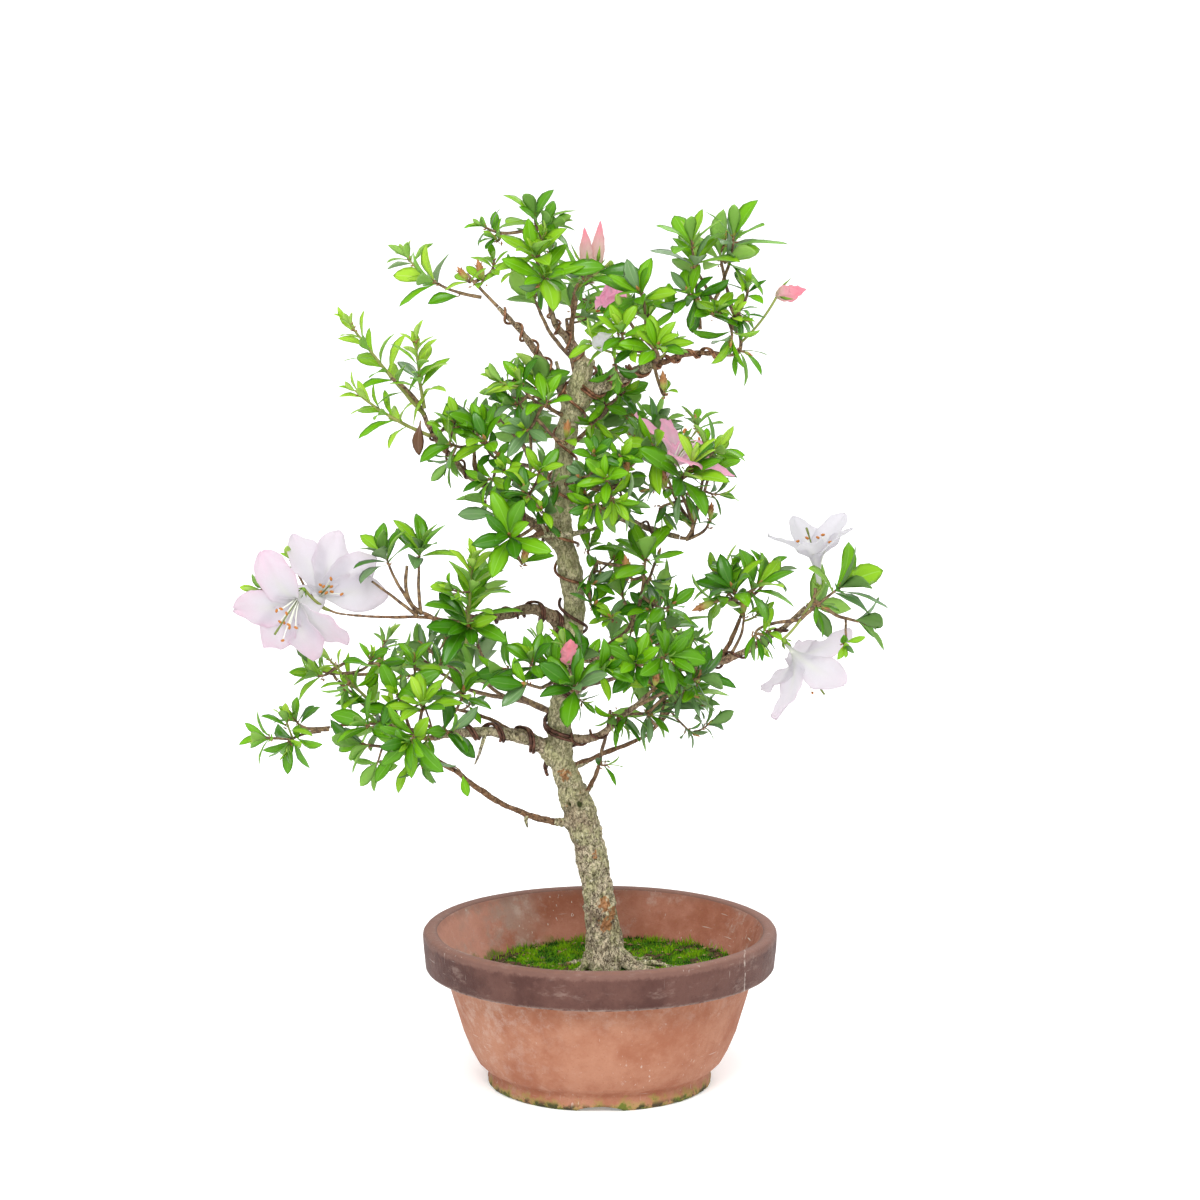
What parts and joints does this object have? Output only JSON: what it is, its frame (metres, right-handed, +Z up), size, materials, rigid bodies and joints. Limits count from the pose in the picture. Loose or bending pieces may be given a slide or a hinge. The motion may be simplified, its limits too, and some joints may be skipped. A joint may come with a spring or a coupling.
{
  "type": "azalea bonsai",
  "caption": "Flowering azalea grown as a bonsai: a bending trunk, boughs wound with training wire, whorled leaves and open blossom, standing in a round terracotta bowl on a foot ring.",
  "frame": {"origin": "on the plane that the bowl stands on, below the middle of the whole plant's bounding box", "axes": "+Z up; +X to the plant's right as seen from its front; the front, with most of the blossom, faces -Y"},
  "size_m": [0.4431, 0.2516, 0.6049],
  "materials": {
    "terracotta": "matte",
    "moss": "matte",
    "bark": "matte",
    "bough_bark": "matte",
    "wire": "satin",
    "foliage": "satin",
    "blossom": "satin"
  },
  "bodies": {
    "root": {"bough_apex": "bough_bark", "bough_apex_right": "bough_bark", "bough_high_left": "bough_bark", "bough_high_right": "bough_bark", "bough_high_right_outer": "bough_bark", "bough_left_blossom": "bough_bark", "bough_left_long": "bough_bark", "bough_left_twig": "bough_bark", "bough_long_low": "bough_bark", "bough_lower_left": "bough_bark", "bough_lower_left_inner": "bough_bark", "bough_lower_left_tip": "bough_bark", "bough_lower_right": "bough_bark", "bough_lower_right_low": "bough_bark", "bough_mid_left": "bough_bark", "bough_mid_left_inner": "bough_bark", "bough_mid_left_outer": "bough_bark", "bough_mid_right": "bough_bark", "bough_right": "bough_bark", "bough_right_knot": "bough_bark", "bough_right_upper": "bough_bark", "bough_thin_shoot": "bough_bark", "bowl": "terracotta", "foliage_apex": "foliage", "foliage_apex_right": "foliage", "foliage_back_apex": "foliage", "foliage_back_left": "foliage", "foliage_back_low_left": "foliage", "foliage_back_low_right": "foliage", "foliage_back_right": "foliage", "foliage_high_left": "foliage", "foliage_high_right_inner": "foliage", "foliage_high_right_outer": "foliage", "foliage_left_blossoms": "blossom", "foliage_left_near": "foliage", "foliage_left_shoot": "foliage", "foliage_left_twigs": "foliage", "foliage_low_spray": "foliage", "foliage_lower_centre": "foliage", "foliage_lower_left_back": "foliage", "foliage_lower_left_front": "foliage", "foliage_lower_left_inner": "foliage", "foliage_lower_left_tip": "foliage", "foliage_lower_right_inner": "foliage", "foliage_lower_right_low": "foliage", "foliage_mid_centre": "foliage", "foliage_mid_left_inner": "foliage", "foliage_mid_left_outer": "foliage", "foliage_mid_left_upper": "foliage", "foliage_mid_right_outer": "foliage", "foliage_mid_right_upper": "foliage", "foliage_right_knot": "foliage", "foliage_right_outer": "foliage", "foliage_right_upper": "foliage", "soil_moss": "moss", "trunk": "bark", "wire_lower_left": "wire", "wire_mid_left": "wire", "wire_trunk": "wire"}
  },
  "joints": []
}
